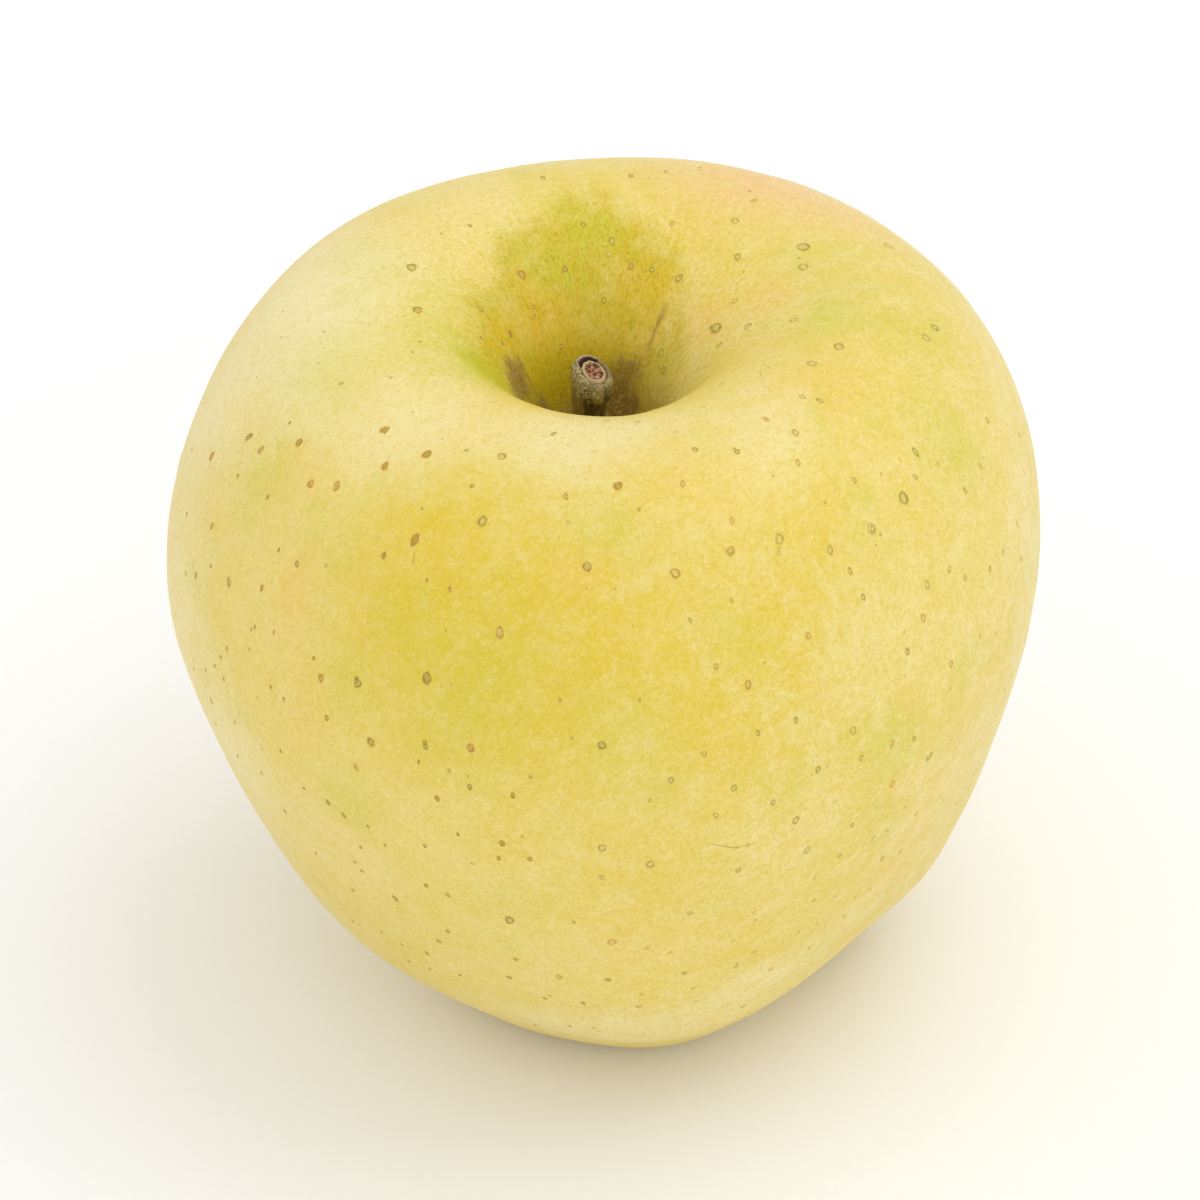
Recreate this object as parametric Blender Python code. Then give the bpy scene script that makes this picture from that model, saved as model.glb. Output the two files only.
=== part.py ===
"""A whole yellow apple standing on its feet, with its stalk and its dried flower end.

Lengths are written in millimetres and built in metres, +Z up. The apple stands on the plane z = 0.
Bearings are in degrees seen from above: 0 is +X, 90 is +Y.
"""

import math

import bmesh
import bpy
from mathutils import Matrix, Vector, noise
from mathutils.geometry import interpolate_bezier

for scene_object in list(bpy.data.objects):
    bpy.data.objects.remove(scene_object, do_unlink=True)

MM = 0.001

# Driving dimensions of the fruit
WIDEST_RADIUS = 40.0
WIDEST_HEIGHT = 44.9
CREST_RADIUS = 21.0
CREST_HEIGHT = 72.3
THROAT_RADIUS = 5.5
THROAT_HEIGHT = 59.2
CAVITY_FLOOR = 55.1
FLANK_RADIUS = 27.4
FLANK_HEIGHT = 10.3
FOOT_RADIUS = 14.3
BASIN_RADIUS = 5.0
BASIN_HEIGHT = 5.0
BASIN_FLOOR = 8.0
FOOT_FLAT = 0.35

# Driving dimensions of the stalk and of the dried flower end
STALK_RADIUS = 1.5
STALK_KNOB_RADIUS = 2.05
STALK_SINK = 3.0
STALK_TOP = 65.3
STALK_SIDES = 18
STALK_UNEVEN = 0.05
STALK_END_DIP = 0.5
STALK_TOP_CENTRE = (-1.0, -0.1)
CALYX_RADIUS = 2.4
CALYX_DEPTH = 3.2
CALYX_CUP_WALL = 0.9
SEPAL_COUNT = 5
SEPAL_COLUMNS = 12
SEPAL_DROP = 3.9
SEPAL_THICKNESS = 0.32
SEPAL_GAP_REACH = 0.08
CLEARANCE = 0.35

COLUMNS = 72

# A sepal's curve: share of its length, radius of its outer face and drop below the cup's edge, as shares of
# the calyx radius and of the whole drop. The sepals lean together, then curl out at their tips.
SEPAL_CURVE = (
    (0.00, 1.00, 0.00),
    (0.22, 0.86, 0.26),
    (0.45, 0.66, 0.51),
    (0.65, 0.62, 0.74),
    (0.82, 0.82, 0.92),
    (1.00, 1.22, 1.00),
)

# The knots of the fruit's half outline, from the stalk's socket over the shoulder to the flower end:
# radius, height, handle back (radius, height), handle on (radius, height), steps to the next knot.
SOCKET_RADIUS = STALK_RADIUS + CLEARANCE
TUBE_RADIUS = CALYX_RADIUS + CLEARANCE
KNOTS = (
    (SOCKET_RADIUS, CAVITY_FLOOR, (0.0, 0.0), (1.6, 0.0), 5),
    (THROAT_RADIUS, THROAT_HEIGHT, (-1.0, -3.2), (1.6, 5.1), 12),
    (CREST_RADIUS, CREST_HEIGHT, (-9.2, 0.0), (11.5, 0.0), 13),
    (WIDEST_RADIUS, WIDEST_HEIGHT, (0.0, 13.3), (0.0, -7.6), 12),
    (FLANK_RADIUS, FLANK_HEIGHT, (4.8, 4.8), (-4.9, -4.9), 8),
    (FOOT_RADIUS, 0.0, (4.6, 0.0), (-4.0, 0.0), 8),
    (BASIN_RADIUS, BASIN_HEIGHT, (1.5, -2.5), (-0.6, 1.2), 4),
    (TUBE_RADIUS, BASIN_FLOOR, (0.9, -0.3), (0.0, 0.0), 0),
)
LAST_STATION = float(len(KNOTS) - 1)

# Where each level's shape starts and is full, in stations: the crest is 2, the widest ring 3, the foot 5
SHOULDER_FADE = (3.0, 1.6)
LOWER_FADE = (3.0, 4.6)
WAIST_RISE = (1.2, 2.4)
WAIST_FALL = (3.8, 5.0)
CAVITY_FADE = (2.1, 1.1)
# The same by radius: the ribs die away towards the core
OUTER_FADE = (0.0, 20.0)
FOOT_FADE = (0.0, 12.0)

# The five ribs: bearing, strength at the shoulder, strength at the foot
RIBS = (
    (2.0, 0.90, 0.95),
    (64.0, 0.20, 0.80),
    (141.0, 0.51, 1.00),
    (200.0, 1.01, 0.90),
    (283.0, 0.90, 0.85),
)
RIB_HALF_WIDTH = 37.0
RIB_AT_SHOULDER = 1.06
RIB_AT_WAIST = 0.71
RIB_AT_FOOT = 1.60
RIB_LIFT = 0.35
FOOT_LIFT = 0.60

# How the fruit departs from round: order of the wave, cosine part, sine part
WAIST_WAVES = ((2, -0.05, 0.29), (3, -0.31, 0.55))
LOWER_WAVES = ((3, 1.47, 0.10),)
SHOULDER_LIFTS = ((1, -0.10, -0.35), (2, -0.13, -0.95))

# How far the fruit's levels are off centre
SHOULDER_SHIFT = Vector((2.0, 0.1))
LOWER_SHIFT = Vector((2.0, 0.0))
CAVITY_SHIFT = Vector((-2.2, 0.1))
STALK_FOOT_CENTRE = SHOULDER_SHIFT + CAVITY_SHIFT
CALYX_CENTRE = LOWER_SHIFT

UNDULATION = 0.14
UNDULATION_SIZE = 13.0


def smooth_step(start, end, value):
    """Go from 0 at start to 1 at end, with both ends level."""
    share = min(max((value - start) / (end - start), 0.0), 1.0)
    return share * share * (3.0 - 2.0 * share)


def waves(terms, bearing):
    """Add up cosine and sine waves around the fruit."""
    total = 0.0
    for order, cosine, sine in terms:
        total += cosine * math.cos(order * bearing) + sine * math.sin(order * bearing)
    return total


def rib_heights(bearing):
    """Return how strongly the ribs stand out at a bearing, at the shoulder and at the foot."""
    shoulder = 0.0
    foot = 0.0
    for rib_bearing, shoulder_strength, foot_strength in RIBS:
        away = abs((math.degrees(bearing) - rib_bearing + 180.0) % 360.0 - 180.0)
        if away < RIB_HALF_WIDTH:
            hump = 0.5 + 0.5 * math.cos(math.pi * away / RIB_HALF_WIDTH)
            shoulder += shoulder_strength * hump
            foot += foot_strength * hump
    return shoulder, foot


def half_outline():
    """Follow the knots as one smooth curve and return its stations, radii and heights."""
    outline = []
    for index in range(len(KNOTS) - 1):
        radius, height, _, handle_on, steps = KNOTS[index]
        next_radius, next_height, handle_back, _, _ = KNOTS[index + 1]
        start = Vector((radius, height))
        end = Vector((next_radius, next_height))
        leaving = start + Vector(handle_on)
        arriving = end + Vector(handle_back)
        points = interpolate_bezier(start, leaving, arriving, end, steps + 1)
        for step, point in enumerate(points[:-1]):
            outline.append((index + step / steps, point.x, point.y))
    outline.append((LAST_STATION, TUBE_RADIUS, BASIN_FLOOR))
    return outline


def skin_point(station, radius, height, bearing):
    """Place one point of the round outline on the ribbed, slightly lopsided fruit."""
    top = smooth_step(*SHOULDER_FADE, station)
    low = smooth_step(*LOWER_FADE, station)
    waist = smooth_step(*WAIST_RISE, station) * (1.0 - smooth_step(*WAIST_FALL, station))
    cavity = smooth_step(*CAVITY_FADE, station)
    outer = smooth_step(*OUTER_FADE, radius)
    lower = low * smooth_step(*FOOT_FADE, radius)
    shoulder_rib, foot_rib = rib_heights(bearing)

    wide = radius + outer * (waist * waves(WAIST_WAVES, bearing) + low * waves(LOWER_WAVES, bearing))
    wide += outer * (top * RIB_AT_SHOULDER + waist * RIB_AT_WAIST) * shoulder_rib
    wide += lower * RIB_AT_FOOT * foot_rib
    high = height + top * outer * (waves(SHOULDER_LIFTS, bearing) + RIB_LIFT * RIB_AT_SHOULDER * shoulder_rib)
    high += lower * FOOT_LIFT * RIB_AT_FOOT * (1.0 - foot_rib)

    shift = cavity * CAVITY_SHIFT + top * SHOULDER_SHIFT + low * LOWER_SHIFT
    point = Vector((wide * math.cos(bearing) + shift.x, wide * math.sin(bearing) + shift.y, high))
    swell = UNDULATION * noise.noise(point / UNDULATION_SIZE) * outer
    point += swell * Vector((math.cos(bearing), math.sin(bearing), 0.0))
    point.z = max(point.z - FOOT_FLAT, 0.0)
    return point


def turn_bearings(count):
    """Return the bearings of one full turn, in radians."""
    return [2.0 * math.pi * index / count for index in range(count)]


def add_ring(mesh, points):
    """Add one ring of vertices."""
    return [mesh.verts.new(point) for point in points]


def close_ring(mesh, ring, point):
    """Close a ring with triangles around one point."""
    centre = mesh.verts.new(point)
    for vertex, after in zip(ring, ring[1:] + ring[:1]):
        mesh.faces.new((centre, vertex, after))


def skin_rings(mesh, rings, first_point, last_point):
    """Join the rings in order with four-sided faces and close both ends around a point."""
    for ring, next_ring in zip(rings, rings[1:]):
        for index in range(len(ring)):
            before = index - 1
            mesh.faces.new((ring[before], next_ring[before], next_ring[index], ring[index]))
    close_ring(mesh, rings[0], first_point)
    close_ring(mesh, rings[-1], last_point)


def finish_node(name, mesh, material, sharp_angle):
    """Turn a built mesh into the named object, in metres, with its faces pointing out."""
    bmesh.ops.scale(mesh, vec=(MM, MM, MM), verts=mesh.verts)
    bmesh.ops.recalc_face_normals(mesh, faces=mesh.faces)
    data = bpy.data.meshes.new(name)
    mesh.to_mesh(data)
    mesh.free()
    data.shade_smooth()
    data.set_sharp_from_angle(angle=math.radians(sharp_angle))
    data.materials.append(material)
    node = bpy.data.objects.new(name, data)
    bpy.context.scene.collection.objects.link(node)
    return node


def plain_material(name, colour, roughness):
    """Make a Principled material with the part's colour and roughness."""
    material = bpy.data.materials.new(name)
    material.use_nodes = True
    shader = material.node_tree.nodes["Principled BSDF"]
    shader.inputs["Base Color"].default_value = (*colour, 1.0)
    shader.inputs["Roughness"].default_value = roughness
    shader.inputs["Metallic"].default_value = 0.0
    return material


def build_fruit():
    """Build the skin and flesh as one solid, with the stalk's socket and the flower's tube sunk in."""
    mesh = bmesh.new()
    bearings = turn_bearings(COLUMNS)
    rings = []
    for station, radius, height in half_outline():
        rings.append(add_ring(mesh, [skin_point(station, radius, height, bearing) for bearing in bearings]))

    socket_drop = Vector((0.0, 0.0, -STALK_SINK))
    tube_rise = Vector((0.0, 0.0, CALYX_DEPTH))
    rings.insert(0, add_ring(mesh, [vertex.co + socket_drop for vertex in rings[0]]))
    rings.append(add_ring(mesh, [vertex.co + tube_rise for vertex in rings[-1]]))
    socket_end = Vector((*STALK_FOOT_CENTRE, rings[0][0].co.z))
    tube_end = Vector((*CALYX_CENTRE, rings[-1][0].co.z))
    skin_rings(mesh, rings, socket_end, tube_end)
    skin = plain_material("apple_skin", (0.76, 0.58, 0.12), 0.42)
    return finish_node("fruit", mesh, skin, 60.0)


def build_stalk():
    """Build the short woody stalk: a tube that leans a little and ends in a slanting knob."""
    base = Vector((*STALK_FOOT_CENTRE, CAVITY_FLOOR - FOOT_FLAT - STALK_SINK + CLEARANCE))
    tip = Vector((*STALK_TOP_CENTRE, STALK_TOP))
    bow = Vector((0.25, 0.15, 0.0))
    end_slant = Vector((0.22, -0.42, 1.0)).normalized()
    # Share of the way up, radius, and how far the ring has turned towards the slanting end
    levels = (
        (0.00, STALK_RADIUS * 0.94, 0.0),
        (0.16, STALK_RADIUS, 0.0),
        (0.34, STALK_RADIUS * 1.02, 0.0),
        (0.52, STALK_RADIUS, 0.1),
        (0.68, STALK_RADIUS * 1.05, 0.3),
        (0.80, STALK_RADIUS * 1.17, 0.6),
        (0.89, STALK_KNOB_RADIUS, 0.85),
        (0.96, STALK_KNOB_RADIUS * 0.98, 1.0),
        (1.00, STALK_KNOB_RADIUS * 0.80, 1.0),
        (0.985, STALK_KNOB_RADIUS * 0.62, 1.0),
        (0.965, STALK_KNOB_RADIUS * 0.34, 1.0),
    )
    mesh = bmesh.new()
    rings = []
    for share, radius, turned in levels:
        centre = base.lerp(tip, share) + bow * math.sin(math.pi * share)
        normal = Vector((0.0, 0.0, 1.0)).lerp(end_slant, turned).normalized()
        turn = normal.to_track_quat("Z", "Y")
        points = []
        for bearing in turn_bearings(STALK_SIDES):
            uneven = 1.0 + STALK_UNEVEN * math.sin(3.0 * bearing + 1.0)
            offset = Vector((math.cos(bearing), math.sin(bearing), 0.0)) * radius * uneven
            points.append(centre + turn @ offset)
        rings.append(add_ring(mesh, points))
    skin_rings(mesh, rings, base, tip - STALK_END_DIP * end_slant)
    bark = plain_material("stalk_bark", (0.16, 0.11, 0.05), 0.85)
    return finish_node("stalk", mesh, bark, 50.0)


def calyx_point(radius, height, bearing):
    """Place a point around the flower end's own axis."""
    return Vector((*CALYX_CENTRE, height)) + radius * Vector((math.cos(bearing), math.sin(bearing), 0.0))


def sepal_point(share, inset, bearing):
    """Follow a sepal's curve as far as the sepals reach at this bearing, on its outer or its inner face."""
    reach = (0.5 + 0.5 * math.cos(SEPAL_COUNT * bearing)) ** 0.8
    along = share * (SEPAL_GAP_REACH + (1.0 - SEPAL_GAP_REACH) * reach)
    for start, end in zip(SEPAL_CURVE, SEPAL_CURVE[1:]):
        if along <= end[0]:
            break
    part = (along - start[0]) / (end[0] - start[0])
    radius = CALYX_RADIUS * (start[1] + (end[1] - start[1]) * part) - inset
    drop = SEPAL_DROP * (start[2] + (end[2] - start[2]) * part) + inset * along
    return calyx_point(radius, BASIN_FLOOR - FOOT_FLAT - drop, bearing)


def build_calyx():
    """Build the dried flower end: a shallow cup whose edge runs out into curled sepals."""
    top = BASIN_FLOOR - FOOT_FLAT + CALYX_DEPTH - CLEARANCE
    cup_floor = top - CALYX_CUP_WALL
    bearings = turn_bearings(SEPAL_COUNT * SEPAL_COLUMNS)
    shares = (0.0, 0.2, 0.4, 0.6, 0.8, 1.0)
    mesh = bmesh.new()
    rings = [add_ring(mesh, [calyx_point(CALYX_RADIUS, top, bearing) for bearing in bearings])]
    for share in shares:
        rings.append(add_ring(mesh, [sepal_point(share, 0.0, bearing) for bearing in bearings]))
    for share in reversed(shares):
        rings.append(add_ring(mesh, [sepal_point(share, SEPAL_THICKNESS, bearing) for bearing in bearings]))
    cup_radius = CALYX_RADIUS - CALYX_CUP_WALL
    rings.append(add_ring(mesh, [calyx_point(cup_radius, cup_floor, bearing) for bearing in bearings]))
    skin_rings(mesh, rings, Vector((*CALYX_CENTRE, top)), Vector((*CALYX_CENTRE, cup_floor)))
    dried = plain_material("dried_calyx", (0.13, 0.10, 0.05), 0.9)
    return finish_node("calyx", mesh, dried, 60.0)


def centre_on_origin(nodes, widest):
    """Move every node so that the fruit's box is centred on the Z axis."""
    xs = [vertex.co.x for vertex in widest.data.vertices]
    ys = [vertex.co.y for vertex in widest.data.vertices]
    middle = Vector(((min(xs) + max(xs)) / 2.0, (min(ys) + max(ys)) / 2.0, 0.0))
    for node in nodes:
        node.data.transform(Matrix.Translation(-middle))


apple = build_fruit()
stalk = build_stalk()
calyx = build_calyx()
centre_on_origin((apple, stalk, calyx), apple)
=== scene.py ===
"""A whole yellow apple: its pored, waxy skin, its woody stalk and its dried flower end.

Lengths are in metres unless a name ends in _MM. The apple stands on z = 0 with its core along Z.
Places that were read off the photograph are pixels of its 1200 x 1200 frame, and each is carried to the
skin along the camera's line of sight. Colours are linear.
"""

import math
import random

import bmesh
import bpy
import numpy as np
from mathutils import Matrix, Vector, noise
from mathutils.bvhtree import BVHTree


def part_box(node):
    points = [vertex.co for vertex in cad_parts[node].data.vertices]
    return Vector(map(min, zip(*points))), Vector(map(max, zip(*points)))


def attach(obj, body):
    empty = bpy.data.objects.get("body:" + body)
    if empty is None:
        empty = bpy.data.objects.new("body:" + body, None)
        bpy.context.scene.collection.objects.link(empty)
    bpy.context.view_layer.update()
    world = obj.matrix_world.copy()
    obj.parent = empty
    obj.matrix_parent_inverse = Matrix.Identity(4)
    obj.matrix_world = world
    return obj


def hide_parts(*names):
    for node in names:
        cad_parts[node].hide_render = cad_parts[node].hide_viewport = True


MM = 0.001

# The photograph's camera
PHOTO_SIDE = 1200
SENSOR_MM = 36.0
LENS_MM = 226.4
CAMERA_RISE = math.radians(37.34)
CAMERA_ROLL = math.radians(-1.06)
CAMERA_DISTANCE = 0.7
CAMERA_AIM = Vector((-0.00051, 0.00074, 0.03911))

# Skin colours
GROUND_YELLOW = (0.785, 0.625, 0.185)
MID_YELLOW = (0.760, 0.575, 0.100)
DEEP_YELLOW = (0.720, 0.530, 0.026)
# Pale cream, also used for painted highlight and reflection
PALE_YELLOW_AND_SHEEN = (0.850, 0.750, 0.400)
LEAF_GREEN = (0.54, 0.570, 0.040)
SUN_ORANGE = (0.84, 0.51, 0.100)
BLUSH = (0.87, 0.50, 0.230)
THROAT_GREEN = (0.55, 0.480, 0.004)
THROAT_GOLD = (0.64, 0.455, 0.010)
THROAT_GLOW = (0.74, 0.49, 0.014)
THROAT_LEAF = (0.53, 0.505, 0.008)
# Darker gold toward the floor of the cavity: painted shade
THROAT_SHADE = (0.50, 0.360, 0.000)
THROAT_SPECK = (0.40, 0.285, 0.000)
CRINKLE_DARK = (0.64, 0.475, 0.010)
CRINKLE_PALE = (0.88, 0.755, 0.310)
RUSSET = (0.22, 0.115, 0.010)
RUSSET_GREY = (0.42, 0.295, 0.085)
PORE_RIM = (0.27, 0.205, 0.022)
PORE_BROWN_RIM = (0.42, 0.220, 0.026)
PORE_HEART = (0.70, 0.54, 0.150)
PORE_BROWN = (0.47, 0.305, 0.036)
SCRATCH_BROWN = (0.40, 0.215, 0.020)

# Stalk, flower end and floor colours
BARK_DARK = (0.070, 0.046, 0.006)
BARK_LIGHT = (0.29, 0.215, 0.050)
BARK_LICHEN = (0.45, 0.39, 0.19)
BARK_TORN = (0.62, 0.47, 0.33)
WOOD_PALE = (0.74, 0.53, 0.30)
WOOD_BROWN = (0.42, 0.26, 0.12)
# Painted shade in the groove between the stalk's cut wood and its bark
GROOVE_SHADE = (0.045, 0.020, 0.009)
PITH_BROWN = (0.17, 0.052, 0.018)
PITH_PALE = (0.66, 0.37, 0.22)
SEPAL_BROWN = (0.15, 0.105, 0.050)
SEPAL_TAN = (0.28, 0.215, 0.095)
SEPAL_GREY = (0.33, 0.29, 0.20)
FLOOR_SHADE = (0.93, 0.93, 0.93)
FLOOR_WHITE = (0.95, 0.95, 0.95)

# Patches of colour on the skin: pixel of the middle, reach across and up in mm, strength
SKIN_PATCHES = {
    "green": (
        (440, 352, 7.0, 6.0, 0.34), (484, 369, 5.0, 6.0, 0.95), (330, 372, 9.0, 5.0, 0.26),
        (265, 475, 6.0, 7.0, 0.34), (352, 262, 6.0, 6.0, 0.16), (596, 236, 3.5, 6.0, 0.56),
        (575, 205, 3.0, 5.0, 0.34), (540, 262, 4.0, 6.0, 0.34), (446, 302, 5.5, 5.5, 0.30),
        (470, 690, 10.0, 14.0, 0.26), (345, 800, 6.0, 6.0, 0.34), (352, 680, 4.0, 5.0, 0.26),
        (955, 440, 6.5, 9.0, 0.40), (920, 335, 6.0, 5.0, 0.36), (830, 320, 5.0, 3.5, 0.46),
        (895, 740, 5.5, 6.0, 0.42), (735, 640, 4.0, 4.0, 0.26), (850, 735, 3.6, 3.6, 0.30),
        (620, 735, 7.0, 8.0, 0.20), (510, 905, 4.5, 4.0, 0.24),
    ),
    "orange": (
        (290, 470, 5.0, 7.0, 0.34), (298, 590, 3.6, 9.0, 0.44), (300, 700, 4.0, 8.0, 0.26),
        (585, 560, 4.5, 3.6, 0.30), (908, 705, 2.6, 4.0, 0.30), (712, 320, 4.0, 4.0, 0.42),
        (546, 322, 3.8, 6.5, 0.60), (652, 294, 3.2, 6.0, 0.55), (506, 336, 2.6, 4.0, 0.50),
        (625, 340, 3.0, 5.0, 0.40), (770, 298, 5.0, 3.0, 0.34), (812, 385, 6.5, 4.0, 0.26),
        (470, 330, 4.0, 5.0, 0.30), (690, 480, 7.0, 5.0, 0.16), (900, 860, 6.0, 6.0, 0.22),
        (440, 560, 3.6, 4.0, 0.14), (660, 940, 7.0, 5.0, 0.16),
    ),
    "blush": (
        (785, 186, 9.0, 5.0, 0.70), (705, 172, 9.0, 4.0, 0.34), (855, 222, 6.0, 4.5, 0.30),
        (285, 268, 8.0, 6.0, 0.16), (568, 318, 1.3, 1.3, 0.46),
    ),
    # Pale: some cream skin, but mostly painted highlight on the upper left shoulder and the cavity's near
    # rim, painted reflection round the outline and painted light at the bottom
    "pale": (
        (318, 290, 13.0, 13.0, 0.92), (230, 400, 11.0, 16.0, 0.60), (300, 420, 7.0, 6.0, 0.35),
        (575, 440, 12.0, 3.6, 0.64), (400, 425, 11.0, 5.0, 0.60), (470, 210, 8.0, 6.0, 0.35),
        (760, 430, 8.0, 5.0, 0.45), (870, 640, 9.0, 9.0, 0.25), (180, 620, 8.0, 16.0, 0.45),
        (240, 760, 7.0, 12.0, 0.55), (640, 1030, 16.0, 6.0, 0.55), (1030, 560, 6.0, 16.0, 0.30),
        (302, 364, 9.5, 4.6, 0.72), (775, 972, 9.0, 5.0, 0.55), (862, 908, 6.0, 5.0, 0.35),
    ),
    "deep": (
        (470, 640, 18.0, 18.0, 0.72), (600, 620, 13.0, 13.0, 0.62), (725, 700, 12.0, 12.0, 0.56),
        (860, 850, 9.0, 9.0, 0.36), (600, 895, 13.0, 10.0, 0.32), (425, 560, 11.5, 11.5, 0.66),
        (650, 482, 7.0, 3.6, 0.40), (795, 585, 11.0, 10.0, 0.52), (686, 232, 5.0, 4.0, 0.45),
        (870, 372, 11.0, 4.5, 0.30), (500, 842, 6.0, 5.0, 0.34), (560, 780, 12.0, 10.0, 0.30),
    ),
    "throat": (
        (585, 320, 10.5, 10.5, 1.00), (603, 240, 6.6, 8.0, 0.92), (545, 262, 7.0, 8.0, 0.85),
        (644, 285, 5.8, 9.0, 0.80), (497, 328, 6.5, 8.5, 0.95), (490, 370, 5.0, 5.6, 1.00),
        (668, 352, 4.6, 7.5, 0.66), (578, 196, 6.5, 6.0, 0.26),
    ),
    # Russet: the skin's own russet; the patches left of the stalk by the near rim also paint shade on the
    # cavity's floor
    "russet": (
        (519, 390, 4.4, 3.5, 0.84), (542, 400, 3.0, 3.0, 0.64), (559, 407, 2.4, 2.2, 0.50),
        (621, 398, 3.8, 4.4, 0.95), (642, 358, 2.0, 4.6, 0.50), (568, 318, 1.1, 1.3, 0.30),
        (620, 360, 2.2, 3.0, 0.42),
    ),
}

# Marks left by rubbing: pixels along the mark, width in mm, strength
SCRATCHES = (
    (((668, 302), (656, 328), (648, 352)), 0.50, 0.85),
    (((708, 843), (735, 848), (758, 842)), 0.14, 0.85),
    (((763, 360), (760, 372), (764, 385), (775, 396), (792, 403)), 0.10, 0.50),
    (((692, 373), (712, 364)), 0.16, 0.60),
    (((968, 778), (984, 762)), 0.12, 0.70),
    (((333, 899), (346, 908)), 0.10, 0.75),
    (((350, 853), (357, 862)), 0.10, 0.65),
    (((684, 378), (688, 375)), 0.14, 0.70),
    (((779, 541), (778, 556)), 0.40, 0.42),
    (((415, 549), (413, 564)), 0.28, 0.50),
    (((652, 424), (660, 431), (670, 434)), 0.09, 0.50),
    (((482, 405), (490, 402), (500, 401)), 0.12, 0.55),
)

# The pores that stand out: pixel, size in mm along and across the fruit's meridian, and tone, from
# a pale ring to solid brown
LARGE_PORES = (
    (415, 540, 1.30, 0.80, 1.00), (427, 678, 1.20, 0.95, 0.85), (358, 683, 1.15, 0.80, 0.70),
    (321, 678, 0.95, 0.70, 0.85), (483, 521, 1.10, 0.90, 0.50), (500, 633, 1.20, 0.75, 0.60),
    (587, 567, 0.95, 0.85, 0.65), (675, 573, 0.95, 0.90, 0.45), (618, 486, 0.95, 0.80, 0.90),
    (427, 455, 1.00, 0.85, 0.95), (385, 430, 0.90, 0.75, 0.90), (502, 457, 0.80, 0.90, 0.50),
    (903, 498, 1.40, 1.05, 0.48), (803, 247, 1.20, 1.30, 0.45), (803, 267, 0.95, 1.10, 0.25),
    (716, 328, 1.20, 1.40, 0.55), (748, 327, 0.80, 0.80, 0.40), (794, 320, 0.80, 0.90, 0.10),
    (839, 347, 0.95, 1.10, 0.45), (812, 364, 1.00, 1.00, 0.20), (871, 529, 1.10, 0.90, 0.30),
    (779, 539, 1.05, 0.90, 0.15), (730, 552, 0.85, 0.80, 0.30), (602, 848, 0.90, 0.80, 0.35),
    (650, 864, 0.95, 0.80, 0.35), (612, 942, 0.95, 0.85, 0.30), (510, 920, 1.25, 1.00, 0.60),
    (926, 338, 0.95, 0.95, 0.30), (935, 328, 0.95, 0.85, 0.45), (888, 246, 1.00, 1.20, 0.15),
    (735, 221, 0.80, 0.80, 0.10), (418, 310, 0.95, 1.10, 0.70), (412, 268, 0.90, 1.00, 0.60),
    (602, 745, 0.80, 0.80, 0.80), (471, 748, 0.80, 0.75, 0.80), (372, 743, 0.85, 0.70, 0.60),
)

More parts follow.
